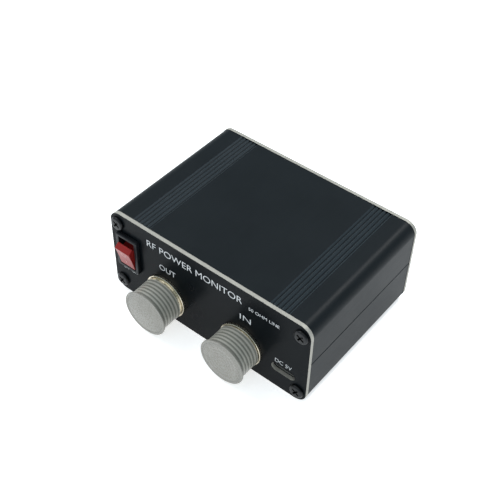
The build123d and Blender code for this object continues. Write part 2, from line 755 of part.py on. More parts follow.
def battery_cell():
    z0 = FLOOR_Z + PAD_T
    cell = block(-CELL_W / 2, CELL_W / 2, CELL_Y - CELL_L / 2, CELL_Y + CELL_L / 2, z0, z0 + CELL_T)
    return fillet(cell.edges().filter_by(Axis.Y), 1.6)


def battery_lead(k):
    z = FLOOR_Z + PAD_T + CELL_T / 2
    x, y = 32.6 + 2.0 * k, 3.2 + 2.0 * k
    return lead([(CELL_W / 2, y, z), (29.0 + 1.5 * k, y, z), (x, y, BOARD_Z),
                 (x, y, LEAD_TOP), (x, PLUG_Y, LEAD_TOP)], LEAD_R)


def battery_header():
    """Board-mounted box, open at its front, that the battery's plug sits in."""
    half = JACK_W / 2
    back = JACK_Y + JACK_L
    outer = block(JACK_X - half, JACK_X + half, JACK_Y, back, BOARD_TOP, BOARD_TOP + JACK_H)
    half -= JACK_WALL
    low, high = BOARD_TOP + JACK_WALL, BOARD_TOP + JACK_H - JACK_WALL
    return outer - block(JACK_X - half, JACK_X + half, JACK_Y, back - JACK_WALL, low, high)


def battery_plug():
    gap = JACK_WALL + PLUG_GAP
    half = JACK_W / 2 - gap
    low, high = BOARD_TOP + gap, BOARD_TOP + JACK_H - gap
    return block(JACK_X - half, JACK_X + half, PLUG_Y, JACK_Y + JACK_L - gap, low, high)


PIECES = {
    "lower_shell": lower_shell(),
    "upper_shell": upper_shell(),
    "connector_panel": connector_panel(),
    "display_panel": display_panel(),
    "connector_panel_screws": panel_screws(-1),
    "display_panel_screws": panel_screws(1),
    "power_switch_housing": switch_housing(),
    "power_rocker": power_rocker(),
    "rocker_plunger": rocker_plunger(),
    "rocker_spring": rocker_spring(),
    "contact_lever": contact_lever(),
    "switch_common_blade": common_blade(),
    "switch_line_blade": line_blade(),
    "switch_leads": switch_leads(),
    "usb_shell": usb_shell(),
    "usb_tongue": usb_tongue(),
    "main_board": main_board(),
    "forward_core": core(FORWARD_X, FORWARD_Y),
    "forward_winding": winding(FORWARD_X, FORWARD_Y),
    "reflected_core": core(REFLECTED_X, REFLECTED_Y),
    "reflected_winding": winding(REFLECTED_X, REFLECTED_Y),
    "line_conductor": line_conductor(),
    "line_sleeve": line_sleeve(),
    "sense_conductor": sense_conductor(),
    "microcontroller": microcontroller(),
    "charger_chip": charger_chip(),
    "power_inductor": power_inductor(),
    "detector_diodes": detector_diodes(),
    "chip_capacitors": chip_rows(CAPACITOR_ROWS, CAPACITOR_H),
    "chip_resistors": chip_rows(RESISTOR_ROWS, RESISTOR_H),
    "display_window": display_window(),
    "display_gasket": display_gasket(),
    "display_glass": display_glass(),
    "display_board": display_board(),
    "display_header": display_header(),
    "header_pins": header_pins(),
    "battery_pad": battery_pad(),
    "battery_cell": battery_cell(),
    "battery_lead_red": battery_lead(0),
    "battery_lead_black": battery_lead(1),
    "battery_header": battery_header(),
    "battery_plug": battery_plug(),
}
for port, port_x, tag_side, cap_reach in (("ant", ANT_X, 1, ANT_CAP_REACH), ("tx", TX_X, -1, TX_CAP_REACH)):
    PIECES[f"{port}_socket_body"] = socket_body(port_x)
    PIECES[f"{port}_socket_insulator"] = socket_insulator(port_x)
    PIECES[f"{port}_socket_contact"] = socket_contact(port_x)
    PIECES[f"{port}_ground_tag"] = ground_tag(port_x, tag_side)
    PIECES[f"{port}_lock_washer"] = lock_washer(port_x)
    PIECES[f"{port}_socket_nut"] = socket_nut(port_x)
    PIECES[f"{port}_dust_cap"] = dust_cap(port_x, cap_reach)

os.makedirs("parts", exist_ok=True)
for name, shape in PIECES.items():
    export_step(shape, f"parts/{name}.step")
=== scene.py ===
# %% [markdown]
# # A bench-top SWR and power meter
#
# The meter is a black anodised aluminium box, two extruded halves held between two flat end
# panels. One panel carries two coaxial sockets under translucent dust caps, a red rocker switch
# and a charging inlet. The other carries the display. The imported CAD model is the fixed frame:
# sizes and places come from its nodes where they can, and the few that it doesn't hold, such as
# those of the print, are named values here.

# %% Load the frame
import json
import math

import bmesh
import bpy
from mathutils import Matrix, Vector


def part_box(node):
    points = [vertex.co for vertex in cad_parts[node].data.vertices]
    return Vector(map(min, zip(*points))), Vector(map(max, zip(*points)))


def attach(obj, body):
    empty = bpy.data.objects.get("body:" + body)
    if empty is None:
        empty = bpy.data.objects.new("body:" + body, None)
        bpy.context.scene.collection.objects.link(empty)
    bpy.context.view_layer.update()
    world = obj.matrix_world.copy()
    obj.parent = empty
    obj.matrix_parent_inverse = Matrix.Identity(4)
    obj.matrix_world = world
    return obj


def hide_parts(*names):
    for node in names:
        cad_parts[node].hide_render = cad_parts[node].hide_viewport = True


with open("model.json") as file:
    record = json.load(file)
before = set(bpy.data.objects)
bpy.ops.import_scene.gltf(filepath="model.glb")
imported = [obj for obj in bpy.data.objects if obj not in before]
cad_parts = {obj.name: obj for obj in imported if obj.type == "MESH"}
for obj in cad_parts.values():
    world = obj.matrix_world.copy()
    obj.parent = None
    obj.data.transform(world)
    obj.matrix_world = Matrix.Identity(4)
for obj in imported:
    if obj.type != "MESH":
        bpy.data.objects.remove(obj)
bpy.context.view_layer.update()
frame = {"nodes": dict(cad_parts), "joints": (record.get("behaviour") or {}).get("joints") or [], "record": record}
nodes = frame["nodes"]
MM = 0.001

# %% Read the driving places
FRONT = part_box("connector_panel")[0].y
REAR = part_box("display_panel")[1].y
joints = {joint["name"]: joint for joint in frame["joints"]}
slot_of = {part["node"]: part["material_slot"] for part in frame["record"]["subparts"]}


def middle(node):
    """The centre of a CAD node's box."""
    low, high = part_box(node)
    return (low + high) / 2


print("panel planes at y =", round(FRONT / MM, 2), "and", round(REAR / MM, 2), "mm")

# %% [markdown]
# ## Node trees written as sums
#
# A material or a Geometry Nodes tree is a graph, and its maths could be wired node by node. It
# reads better as a formula. `Wire` stands for one output socket, and Python's operators on it
# add the Math nodes. `Desk.add` makes any other node: its settings first, then its sockets.

# %% Wires
class Wire:
    """One output socket; sums on it add Math nodes to the same tree."""

    def __init__(self, desk, socket):
        self.desk = desk
        self.socket = socket

    def math(self, operation, *others):
        values = dict(enumerate((self, *others)))
        return self.desk.add("ShaderNodeMath", {"operation": operation}, values)

    def __add__(self, other):
        return self.math("ADD", other)

    def __mul__(self, other):
        return self.math("MULTIPLY", other)

    def __sub__(self, other):
        return self.math("SUBTRACT", other)

    def __truediv__(self, other):
        return self.math("DIVIDE", other)

    def __rsub__(self, other):
        return self.desk.add("ShaderNodeMath", {"operation": "SUBTRACT"}, {0: other, 1: self})

    __radd__ = __add__
    __rmul__ = __mul__

    def clamp(self):
        return self.desk.add("ShaderNodeClamp", {}, {"Value": self})


# %% Desks
class Desk:
    """A node tree being built."""

    def __init__(self, tree):
        self.tree = tree

    def add(self, kind, settings=None, inputs=None, out=0):
        node = self.tree.nodes.new(kind)
        for key, value in (settings or {}).items():
            setattr(node, key, value)
        for key, value in (inputs or {}).items():
            if isinstance(value, Wire):
                self.tree.links.new(value.socket, node.inputs[key])
            else:
                node.inputs[key].default_value = value
        return Wire(self, node.outputs[out]) if node.outputs else None

    def place(self, stretch=(1, 1, 1)):
        """Object coordinates, squeezed or stretched along an axis."""
        spot = self.add("ShaderNodeTexCoord", out="Object")
        return self.add("ShaderNodeMapping", {}, {"Vector": spot, "Scale": stretch})

    def noise(self, size, stretch=(1, 1, 1), detail=3.0):
        """Cloudy variation from 0 to 1 whose features are about size metres across."""
        values = {"Vector": self.place(stretch), "Scale": 1 / size, "Detail": detail}
        return self.add("ShaderNodeTexNoise", {}, values, "Fac")

    def blend(self, share, first, second):
        """A colour between two others."""
        return self.add("ShaderNodeMix", {"data_type": "RGBA"}, {0: share, 6: first, 7: second}, 2)

    def bump(self, height, depth):
        return self.add("ShaderNodeBump", {}, {"Height": height, "Distance": depth, "Strength": 1.0})


print("node helpers ready")

# %% [markdown]
# ## Finishes
#
# Each finish is a Principled shader. Numbers that are the same all over are set on its own
# sockets, and only colour, roughness and bump vary over the surface. `finish` takes a recipe: a
# function that gets the desk and returns the sockets that vary.

# %% The finish maker
finishes = {}


def grey(level, tint=(1.0, 1.0, 1.0)):
    """A colour from one brightness and a tint."""
    return (*[level * share for share in tint], 1.0)


def finish(name, recipe, **fixed):
    """A material: fixed sockets as numbers, and a recipe for those that vary."""
    material = bpy.data.materials.new(name)
    material.use_nodes = True
    material.node_tree.nodes.clear()
    desk = Desk(material.node_tree)
    sockets = {label.replace("_", " "): value for label, value in fixed.items()}
    sockets.update(recipe(desk))
    shader = desk.add("ShaderNodeBsdfPrincipled", {}, sockets)
    desk.add("ShaderNodeOutputMaterial", {}, {"Surface": shader})
    finishes[name] = material
    return material


# %% [markdown]
# ### Anodised extrusion
#
# An extruded bar carries fine drawing lines along its length, and anodising over a light blast
# leaves a satin black with a cold tint. Long thin noise along Y gives the lines, round fine noise
# the blast, and a broad soft noise keeps large flats from looking printed.

# %% Anodised black
def anodised(desk, dark=0.008, light=0.014):
    lines = desk.noise(0.25 * MM, (1, 0.02, 1), 2.0)
    blast = desk.noise(0.12 * MM, detail=2.0)
    broad = desk.noise(14 * MM)
    colour = desk.blend(broad * 0.7 + lines * 0.3, grey(dark, (0.72, 1.0, 1.2)),
                        grey(light, (0.75, 1.0, 1.18)))
    return {"Base Color": colour,
            "Roughness": 0.34 + lines * 0.10 + broad * 0.08,
            "Normal": desk.bump(lines * 0.6 + blast * 0.4, 0.012 * MM)}


GROOVE_PITCH = 1.6 * MM
GROOVE_COUNT = 5
GROOVES_FROM = 26.2 * MM
# Half-width of the black painted shade down the middle of each groove.
GROOVE_SHADE_WIDTH = 0.34 * MM


def groove_wall(desk):
    """Paler groove walls as a painted highlight, and black down the middle of each groove as painted shade."""
    # Paler than the flats: a painted highlight on the groove walls.
    sockets = anodised(desk, 0.028, 0.040)
    x = desk.add("ShaderNodeSeparateXYZ", {}, {"Vector": desk.place()}, "X").math("ABSOLUTE")
    across = ((x - GROOVES_FROM) / GROOVE_PITCH).math("FRACT")
    from_bottom = (across - 0.5).math("ABSOLUTE") * GROOVE_PITCH
    # Painted shade: black down the middle of each groove.
    painted_shade = 1 - (from_bottom / GROOVE_SHADE_WIDTH).clamp()
    sockets["Base Color"] = desk.blend(painted_shade, sockets["Base Color"], grey(0.001))
    return sockets


finish("case_black", anodised, Specular_IOR_Level=0.09)
finish("groove_wall", groove_wall, Specular_IOR_Level=0.16)

# %% [markdown]
# ### Panel face and sawn edge
#
# The panels are printed and lacquered flat, then cut out, so the black stops at the cut and the
# bare aluminium shows all round as a pale line. The face is smoother than the extrusion, and its
# shine is kept low. The cut edge has fine marks across it.

# %% Panel black and bare edge
def panel_face(desk):
    orange_peel = desk.noise(0.9 * MM, detail=1.0)
    broad = desk.noise(22 * MM)
    colour = desk.blend(broad, grey(0.003, (0.6, 1.0, 1.35)), grey(0.006, (0.7, 1.0, 1.3)))
    return {"Base Color": colour,
            "Roughness": 0.24 + broad * 0.08,
            "Normal": desk.bump(orange_peel, 0.004 * MM)}


def bare_edge(desk):
    warm = (1.0, 0.96, 0.86)
    saw = desk.noise(0.16 * MM, (1, 0.15, 1), 3.0)
    patch = desk.noise(3 * MM)
    colour = desk.blend(saw * 0.6 + patch * 0.4, grey(0.27, warm), grey(0.46, warm))
    return {"Base Color": colour,
            "Roughness": 0.5 + saw * 0.2,
            "Normal": desk.bump(saw, 0.01 * MM)}


finish("panel_black", panel_face, Specular_IOR_Level=0.045)
finish("bare_aluminium", bare_edge, Metallic=0.55)

# %% [markdown]
# ### Metals
#
# Plated and plain metals differ in tint and in how evenly they shine. One recipe serves them:
# a tint, a range of roughness, and a fine grain. The nickel is warm, as it is over brass.

# %% Metals
def metal(name, tint, rough, grain=0.3 * MM, depth=0.0008 * MM, worn=0.75):
    def recipe(desk):
        fine = desk.noise(grain)
        broad = desk.noise(12 * grain)
        colour = desk.blend(broad, (*[worn * c for c in tint], 1.0), (*tint, 1.0))
        return {"Base Color": colour,
                "Roughness": rough + fine * 0.12,
                "Normal": desk.bump(fine, depth)}
    return finish(name, recipe, Metallic=1.0)


metal("nickel", (0.78, 0.71, 0.56), 0.2)
metal("contact_gold", (0.83, 0.60, 0.28), 0.2)
metal("steel", (0.55, 0.55, 0.55), 0.28)
metal("copper", (0.80, 0.42, 0.24), 0.3)
metal("enamel_wire", (0.52, 0.16, 0.07), 0.2)
metal("cell_foil", (0.62, 0.63, 0.64), 0.35, grain=0.8 * MM, depth=0.05 * MM)
metal("screw_black", (0.035, 0.036, 0.038), 0.26, worn=0.5)

# %% [markdown]
# ### Moulded and fired parts
#
# Plastics, ferrite, epoxy and foam share a second recipe: two close colours, a roughness and a
# grain. The sizes of grain and bump tell a glossy moulding from a foam.

# %% Plastics and the like
def moulded(name, dark, light, rough, grain=0.5 * MM, depth=0.006 * MM, **fixed):
    def recipe(desk):
        fine = desk.noise(grain)
        broad = desk.noise(10 * grain)
        return {"Base Color": desk.blend(broad * 0.6 + fine * 0.4, dark, light),
                "Roughness": rough + fine * 0.15,
                "Normal": desk.bump(fine, depth)}
    return finish(name, recipe, **fixed)


moulded("ptfe", (0.74, 0.73, 0.70, 1), (0.84, 0.83, 0.80, 1), 0.42)
moulded("switch_black", (0.008, 0.009, 0.011, 1), (0.013, 0.015, 0.018, 1), 0.26,
        Specular_IOR_Level=0.16)
moulded("rocker_red", (0.20, 0.008, 0.008, 1), (0.36, 0.020, 0.016, 1), 0.26, Specular_IOR_Level=0.28)
moulded("board", (0.010, 0.07, 0.03, 1), (0.02, 0.11, 0.05, 1), 0.28, grain=1.2 * MM, depth=0.02 * MM)
moulded("ferrite", (0.05, 0.05, 0.055, 1), (0.09, 0.09, 0.095, 1), 0.55)
moulded("chip_black", (0.018, 0.018, 0.019, 1), (0.03, 0.03, 0.032, 1), 0.48)
moulded("chip_tan", (0.38, 0.27, 0.17, 1), (0.5, 0.38, 0.25, 1), 0.4)
moulded("diode_glass", (0.55, 0.25, 0.12, 1), (0.75, 0.42, 0.24, 1), 0.1)
moulded("foam", (0.02, 0.02, 0.02, 1), (0.06, 0.06, 0.06, 1), 0.85, grain=0.35 * MM, depth=0.15 * MM)
moulded("lead_red", (0.40, 0.015, 0.012, 1), (0.55, 0.03, 0.02, 1), 0.4)
moulded("lead_black", (0.012, 0.012, 0.012, 1), (0.03, 0.03, 0.03, 1), 0.4)
moulded("plug_white", (0.74, 0.72, 0.66, 1), (0.82, 0.80, 0.75, 1), 0.4)
moulded("legend_white", (0.55, 0.56, 0.57, 1), (0.74, 0.75, 0.76, 1), 0.6, grain=0.12 * MM)
moulded("rocker_mark", (0.42, 0.20, 0.19, 1), (0.55, 0.32, 0.30, 1), 0.5, grain=0.2 * MM)
moulded("display_dark", (0.004, 0.005, 0.006, 1), (0.007, 0.008, 0.010, 1), 0.06, grain=4 * MM, depth=0)
moulded("window_clear", (0.010, 0.011, 0.013, 1), (0.016, 0.017, 0.020, 1), 0.07, grain=4 * MM,
        depth=0.001 * MM, Alpha=0.62)

# %% [markdown]
# ### Soft translucent caps
#
# The dust caps are thin milky vinyl, which scatters light inside. Alpha stands for that simply:
# lower along the sleeve, where metal is just behind, high on the disc, which has only air behind
# it, and a little cloudy everywhere. The sleeve has its own shallow ribs, with a painted highlight
# on their crests and painted shade between them, and the sleeve is painted paler overall than the
# disc, as painted light for the light it gets less of. The disc has a thin line of painted shade
# inside its rim, beside its raised ring. The recipe is given the place of the disc's back and of
# the cap's axis, and measures everything from there.

# %% Cap vinyl
RIB_PITCH = 1.42 * MM
DISC_T = 0.74 * MM
# Radius and half-width of the line of painted shade on the cap's disc.
RIM_SHADE_R = 8.25 * MM
RIM_SHADE_HALF = 0.22 * MM


def cap_vinyl(name, disc_back, axis):
    def recipe(desk):
        cloud = desk.noise(2.5 * MM)
        fine = desk.noise(0.4 * MM)
        spot = desk.add("ShaderNodeTexCoord", out="Object")
        x, depth, z = [desk.add("ShaderNodeSeparateXYZ", {}, {"Vector": spot}, part) for part in "XYZ"]
        disc = ((disc_back + 0.25 * MM - depth) / (0.3 * MM)).clamp()
        crest = (((depth - disc_back) / RIB_PITCH).math("FRACT") * 2 - 1).math("ABSOLUTE")
        # Painted highlight on the rib crests, painted shade between them.
        rib_light_and_shade = ((crest - 0.25) / 0.5).clamp()
        radius = ((x - axis.x).math("POWER", 2) + (z - axis.z).math("POWER", 2)).math("SQRT")
        # Painted shade: a thin darker line beside the disc's raised ring.
        line = (1 - (radius - RIM_SHADE_R).math("ABSOLUTE") / RIM_SHADE_HALF).clamp()
        # The sleeve's colours are painted paler than the disc's, as painted light for the light it gets less of.
        sleeve = desk.blend(rib_light_and_shade, (0.24, 0.235, 0.205, 1), (0.56, 0.54, 0.47, 1))
        face = desk.blend(cloud, (0.235, 0.222, 0.195, 1), (0.305, 0.288, 0.253, 1))
        with_rim_shade = desk.blend(line * 0.45, face, (0.12, 0.12, 0.11, 1))
        return {"Base Color": desk.blend(disc, sleeve, with_rim_shade),
                "Alpha": 0.74 + cloud * 0.08 + disc * 0.16,
                "Roughness": 0.22 + fine * 0.12,
                "Normal": desk.bump(cloud * 0.4 + fine * 0.6, 0.004 * MM)}
    return finish(name, recipe)


for port in ("ant", "tx"):
    cap_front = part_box(f"{port}_dust_cap")[0].y
    cap_vinyl(f"{port}_cap_clear", cap_front + DISC_T, middle(f"{port}_dust_cap"))
print(len(finishes), "finishes made")

# %% [markdown]
# ## Soft edges on hard parts
#
# CAD edges are perfectly sharp, and a real edge is not: it catches a thin line of light. A CAD
# mesh stays as it is, so each visible part is copied, its loose triangles are merged into clean
# faces, and a small bevel is baked in. A bevel bends the shading of the flats beside it, so the
# normals are then weighted towards the large faces. The copy then stands for the node.

# %% Pieces
def smooth_over(mesh, angle):
    """Smooth shading, except across edges sharper than the angle."""
    mesh.shade_smooth()
    mesh.set_sharp_from_angle(angle=math.radians(angle))


def piece(name, mesh, body, node=None, materials=(), smooth=35):
    """A finished mesh as an object that rides on a body and stands for a CAD node."""
    shape = bpy.data.objects.new(name, mesh)
    bpy.context.scene.collection.objects.link(shape)
    if materials:
        mesh.materials.clear()
        for material in materials:
            mesh.materials.append(finishes[material])
    if not mesh.has_custom_normals:
        smooth_over(mesh, smooth)
    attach(shape, body)
    if node:
        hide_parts(node)
    print(f"{name}: {len(mesh.polygons)} faces")
    return shape


# %% Steps on the way to a piece
def bake(shape):
    """An object's mesh with its modifiers applied; the object itself is removed."""
    bpy.context.view_layer.update()
    result = bpy.data.meshes.new_from_object(shape.evaluated_get(bpy.context.evaluated_depsgraph_get()))
    bpy.data.objects.remove(shape)
    return result


def temporary(mesh, name="temporary"):
    """A linked object that isn't a piece: a step on the way to one, or part of the stage."""
    shape = bpy.data.objects.new(name, mesh)
    bpy.context.scene.collection.objects.link(shape)
    return shape


def mesh_of(work, name):
    """A finished bmesh as a mesh."""
    mesh = bpy.data.meshes.new(name)
    work.to_mesh(mesh)
    work.free()
    return mesh


# %% Softened copies
MERGE_WITHIN = 0.0005 * MM
FLAT_WITHIN = math.radians(0.4)
BEVEL_FROM = math.radians(32)
SHARP_FROM = 40


def merged_copy(node):
    """A copy of a CAD node's mesh with its doubles merged and its flat faces whole."""
    mesh = nodes[node].data.copy()
    work = bmesh.new()
    work.from_mesh(mesh)
    bmesh.ops.remove_doubles(work, verts=work.verts, dist=MERGE_WITHIN)
    bmesh.ops.dissolve_limit(work, angle_limit=FLAT_WITHIN, verts=work.verts, edges=work.edges)
    work.to_mesh(mesh)
    work.free()
    return mesh


def softened(node, width, segments=2):
    """A merged copy with small rounded edges, whose flats shade flat."""
    shape = temporary(merged_copy(node))
    bevel = shape.modifiers.new("Soft edges", "BEVEL")
    bevel.width = width
    bevel.segments = segments
    bevel.limit_method = "ANGLE"
    bevel.angle_limit = BEVEL_FROM
    rounded = bake(shape)
    smooth_over(rounded, SHARP_FROM)
    shape = temporary(rounded)
    flats = shape.modifiers.new("Flat shading", "WEIGHTED_NORMAL")
    flats.keep_sharp = True
    return bake(shape)


# %% [markdown]
# ## The case
#
# The two halves are one extrusion, so a softened copy of each keeps the grooves, the seam and
# the channels exactly, and adds the tiny radius that a die leaves on every edge. Faces that slope
# in the grooves take the groove finish, with paler walls as a painted highlight and black down the
# middle as painted shade. The end panels get the same treatment and then two finishes, chosen by
# the way each face looks: along Y it is lacquered, any other way it is a cut edge, apart from a
# thin line of painted shade where the panel meets the shell.

# %% Shells
SHELL_EDGE = 0.10 * MM
GROOVE_REACH = 0.65 * MM
GROOVES_TO = GROOVES_FROM + GROOVE_COUNT * GROOVE_PITCH
for half in ("upper_shell", "lower_shell"):
    shape = piece(f"case_{half}", softened(half, SHELL_EDGE), "case", half, ["case_black", "groove_wall"])
    low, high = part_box(half)
    for face in shape.data.polygons:
        centre = face.center
        near_face = min(high.z - centre.z, centre.z - low.z) < GROOVE_REACH
        sloping = 0.35 < abs(face.normal.x) < 0.95 and abs(face.normal.y) < 0.2
        if near_face and sloping and GROOVES_FROM < abs(centre.x) < GROOVES_TO:
            # These faces get the groove's painted highlight and painted shade.
            face.material_index = 1
    print(sum(face.material_index for face in shape.data.polygons), "groove faces")


# %% Panels
PANEL_EDGE = 0.12 * MM
# Width of the line of painted shade on the cut edge beside the shell.
SHADE_LINE_WIDTH = 0.13 * MM


def panel(name, node, outward):
    """Lacquer on both faces, bare metal on what the saw cut, and a line of painted shade at the shell."""
    shape = piece(name, softened(node, PANEL_EDGE), "case", node, ["panel_black", "bare_aluminium"])
    mesh = shape.data
    inner_plane = min(outward * v.co.y for v in mesh.vertices)
    for face in mesh.polygons:
        lacquered = abs(face.normal.y) > 0.8
        # Faces of the cut edge next to the shell stay black: a line of painted shade at the joint.
        in_painted_shade = outward * face.center.y < inner_plane + SHADE_LINE_WIDTH
        face.material_index = 0 if lacquered or in_painted_shade else 1
    print(sum(face.material_index for face in mesh.polygons), "bare faces on", name)


panel("panel_sockets", "connector_panel", -1)
panel("panel_display", "display_panel", 1)

# %% [markdown]
# ## Turned parts
#
# Caps, sockets and screw heads are all turned shapes, so they start from one half-section spun
# round an axis. `lathe` makes the rings directly, which keeps the faces even and the poles
# closed. Heights run outwards from the panel, along Z until the part is laid into place. Slots
# across a turned part are cut with two crossed boxes.

# %% Lathe
def lathe(section, steps=96):
    """A solid of revolution round Z from (radius, height) points; 0 radius is a pole."""
    work = bmesh.new()
    rings = []
    for radius, height in section:
        if radius == 0:
            rings.append([work.verts.new((0, 0, height))])
            continue
        turn = [math.tau * i / steps for i in range(steps)]
        rings.append([work.verts.new((radius * math.cos(a), radius * math.sin(a), height)) for a in turn])
    solid = len(rings[0]) == 1
    pairs = list(zip(rings, rings[1:])) if solid else list(zip(rings, rings[1:] + rings[:1]))
    for low, high in pairs:
        for i in range(steps):
            j = (i + 1) % steps
            corners = [low[i % len(low)], low[j % len(low)], high[j % len(high)], high[i % len(high)]]
            work.faces.new(list(dict.fromkeys(corners)))
    bmesh.ops.recalc_face_normals(work, faces=work.faces)
    return mesh_of(work, "turned")


def arc(radius, centre, start, end, steps=5):
    """Points of a small arc in the half-section, angles in degrees."""
    turn = [math.radians(start + (end - start) * i / steps) for i in range(steps + 1)]
    return [(centre[0] + radius * math.cos(a), centre[1] + radius * math.sin(a)) for a in turn]


def facing(outward, spot):
    """Lays +Z along -Y (the socket panel) or +Y (the display panel), at a place."""
    return Matrix.Translation(spot) @ Matrix.Rotation(math.radians(-90 * outward), 4, "X")


# %% Slots
def crossed_boxes(length, width, depth, height):
    """Two boxes crossed on the Z axis, centred at a height."""
    work = bmesh.new()
    for turn in (0, 90):
        size = Matrix.Diagonal((length, width, depth, 1))
        place = Matrix.Translation((0, 0, height)) @ Matrix.Rotation(math.radians(turn), 4, "Z") @ size
        bmesh.ops.create_cube(work, size=1, matrix=place)
    return temporary(mesh_of(work, "slots"))


def cut_away(shape, cutter):
    """The mesh of one object less another; both objects are removed."""
    cut = shape.modifiers.new("Slots", "BOOLEAN")
    cut.operation = "DIFFERENCE"
    cut.solver = "EXACT"
    cut.use_self = True
    cut.object = cutter
    mesh = bake(shape)
    bpy.data.objects.remove(cutter)
    return mesh


# %% [markdown]
# ## Geometry Nodes helpers
#
# Where a shape repeats or follows a rule, a Geometry Nodes tree says the rule once. Each tree
# gets named inputs, ends in Realize Instances and Set Material, and is baked to a plain mesh.

# %% Tree maker
def rule_tree(name, numbers):
    """A new tree with a mesh in and out and one named input for each number."""
    tree = bpy.data.node_groups.new(name, "GeometryNodeTree")
    tree.interface.new_socket("Geometry", in_out="INPUT", socket_type="NodeSocketGeometry")
    for label, kind in {**numbers, "Finish": "NodeSocketMaterial"}.items():
        tree.interface.new_socket(label, in_out="INPUT", socket_type=kind)
    tree.interface.new_socket("Geometry", in_out="OUTPUT", socket_type="NodeSocketGeometry")
    desk = Desk(tree)
    start = tree.nodes.new("NodeGroupInput")
    return tree, desk, {socket.name: Wire(desk, socket) for socket in start.outputs if socket.name}


def end_tree(desk, geometry, material):
    whole = desk.add("GeometryNodeRealizeInstances", {}, {"Geometry": geometry})
    painted = desk.add("GeometryNodeSetMaterial", {}, {"Geometry": whole, "Material": material})
    desk.add("NodeGroupOutput", {}, {"Geometry": painted})


def apply_tree(mesh, tree, values, material):
    """The mesh that the tree makes of another, with its inputs set by identifier."""
    shape = temporary(mesh)
    modifier = shape.modifiers.new("Rule", "NODES")
    modifier.node_group = tree
    values = {**values, "Finish": finishes[material]}
    for item in tree.interface.items_tree:
        if item.in_out == "INPUT" and item.name in values:
            modifier[item.identifier] = values[item.name]
    return bake(shape)


# %% [markdown]
# ## Panel screws
#
# Each panel has four identical pan-head screws with a cross recess. One screw is turned and its
# cross cut out with a Boolean. The tree then sets a copy on each corner of a two-by-two grid,
# and turns each by its own random angle, as screws stop where they bite.

# %% One screw
HEAD_R, SHANK_R = 2.75 * MM, 1.3 * MM
DOME = 0.65 * MM
SHANK_POINT = 0.5 * MM
CROSS_LENGTH, CROSS_WIDTH, CROSS_DEPTH = 3.2 * MM, 0.72 * MM, 0.75 * MM


def one_screw(head_height, shank_length):
    """A domed head over a plain shank, both on Z, which is 0 under the head."""
    dome = arc(DOME, (HEAD_R - DOME, head_height - DOME), 0, 90)
    section = [(0, -shank_length), (0.5 * SHANK_R, -shank_length), (SHANK_R, -shank_length + SHANK_POINT),
               (SHANK_R, 0), (HEAD_R, 0), *dome, (0, head_height)]
    cross = crossed_boxes(CROSS_LENGTH, CROSS_WIDTH, 2 * CROSS_DEPTH, head_height)
    return cut_away(temporary(lathe(section, 48)), cross)


screw_low, screw_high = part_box("connector_panel_screws")
head_height = FRONT - screw_low.y
screw_mesh = one_screw(head_height, screw_high.y - FRONT)
print("screw head", round(head_height / MM, 2), "mm high,", len(screw_mesh.polygons), "faces")

# %% Screw tree
TURN_SPREAD = 0.25
tree, desk, given = rule_tree("Corner screws", {
    "Across": "NodeSocketFloat", "Up": "NodeSocketFloat", "Turn": "NodeSocketFloat",
    "Seed": "NodeSocketInt"})
grid = desk.add("GeometryNodeMeshGrid", {}, {"Size X": given["Across"], "Size Y": given["Up"],
                                            "Vertices X": 2, "Vertices Y": 2})
spin = desk.add("FunctionNodeRandomValue", {"data_type": "FLOAT"},
                {2: given["Turn"] - TURN_SPREAD, 3: given["Turn"] + TURN_SPREAD,
                 "Seed": given["Seed"]}, 1)
turn = desk.add("ShaderNodeCombineXYZ", {}, {"Z": spin})
copies = desk.add("GeometryNodeInstanceOnPoints", {}, {"Points": grid, "Instance": given["Geometry"],
                                                      "Rotation": turn})
end_tree(desk, copies, given["Finish"])

across = screw_high.x - screw_low.x - 2 * HEAD_R
up = screw_high.z - screw_low.z - 2 * HEAD_R
for node, outward, plane, seed in (("connector_panel_screws", -1, FRONT, 3),
                                   ("display_panel_screws", 1, REAR, 8)):
    values = {"Across": across, "Up": up, "Turn": math.radians(45), "Seed": seed}
    mesh = apply_tree(screw_mesh.copy(), tree, values, "screw_black")
    mesh.transform(facing(outward, (0, plane, middle(node).z)))
    piece(node.replace("panel_screws", "screws"), mesh, "case", node)

# %% [markdown]
# ## Coaxial sockets
#
# The socket's barrel has a coarse 24-turns-per-inch thread. It could be a helix swept along a
# curve and joined on, but a groove that is cut into the barrel itself leaves one closed skin.
# The turned barrel has closely spaced rings, and the tree moves each point of its outer wall in
# by a triangle wave of height and angle together, which is what a thread is. Four notches across
# the rim lock a plug's teeth.

# %% Thread tree
tree, desk, given = rule_tree("Cut thread", {
    "Major radius": "NodeSocketFloat", "Depth": "NodeSocketFloat", "Pitch": "NodeSocketFloat",
    "Start": "NodeSocketFloat", "End": "NodeSocketFloat"})
spot = desk.add("GeometryNodeInputPosition")
parts = [desk.add("ShaderNodeSeparateXYZ", {}, {"Vector": spot}, axis) for axis in "XYZ"]
radius = (parts[0] * parts[0] + parts[1] * parts[1]).math("SQRT")
turns = parts[2] / given["Pitch"] - parts[1].math("ARCTAN2", parts[0]) / math.tau
wave = (turns.math("FRACT") * 2 - 1).math("ABSOLUTE")
groove = 1 - ((wave - 0.12) / 0.76).clamp()
fade = (((parts[2] - given["Start"]) / given["Pitch"] * 2).clamp()
        * ((given["End"] - parts[2]) / given["Pitch"] * 2).clamp())
outer = radius.math("GREATER_THAN", given["Major radius"] - 0.1 * MM)
inside = outer * parts[2].math("GREATER_THAN", given["Start"]) * parts[2].math("LESS_THAN", given["End"])
scale = 1 - groove * fade * given["Depth"] / radius
moved = desk.add("ShaderNodeCombineXYZ", {}, {"X": parts[0] * scale, "Y": parts[1] * scale, "Z": parts[2]})
cut = desk.add("GeometryNodeSetPosition", {}, {"Geometry": given["Geometry"], "Selection": inside,
                                              "Position": moved})
end_tree(desk, cut, given["Finish"])
